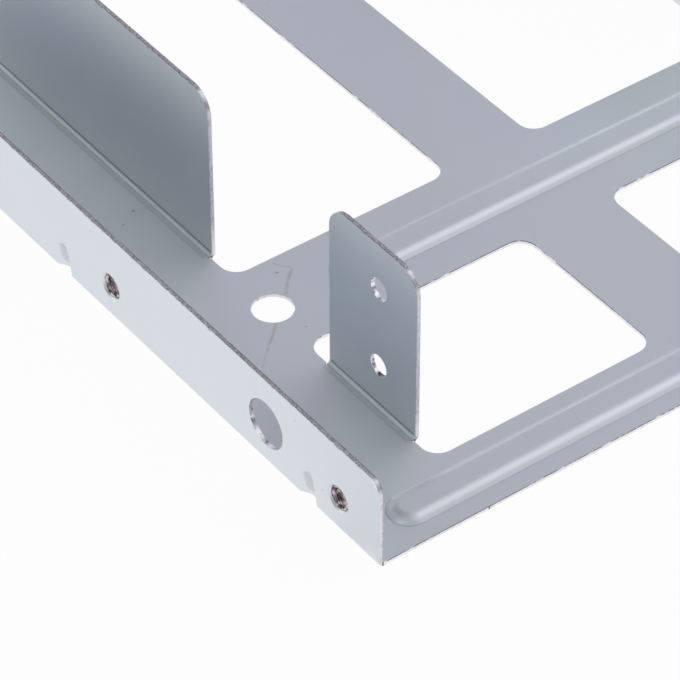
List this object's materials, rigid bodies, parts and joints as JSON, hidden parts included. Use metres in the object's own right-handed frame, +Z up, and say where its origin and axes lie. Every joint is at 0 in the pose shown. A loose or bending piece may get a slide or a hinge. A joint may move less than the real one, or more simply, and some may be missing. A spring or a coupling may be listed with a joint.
{
  "type": "drive bay adapter bracket",
  "caption": "Folded sheet bracket with side flanges, upright screw tabs, ribs and windows, holding narrow drives one above another inside a wider drive bay.",
  "frame": {"origin": "middle of the footprint, on the underside of the flat base", "axes": "+X across the bracket, +Y back along the side flanges from the short tabs to the long tabs, +Z up"},
  "size_m": [0.101, 0.1154, 0.023],
  "materials": {
    "zinc_coated_steel": "satin zinc-coated steel sheet, raw grey on its cut edges"
  },
  "bodies": {
    "root": {"bay_adapter_bracket": "zinc_coated_steel"}
  },
  "joints": []
}
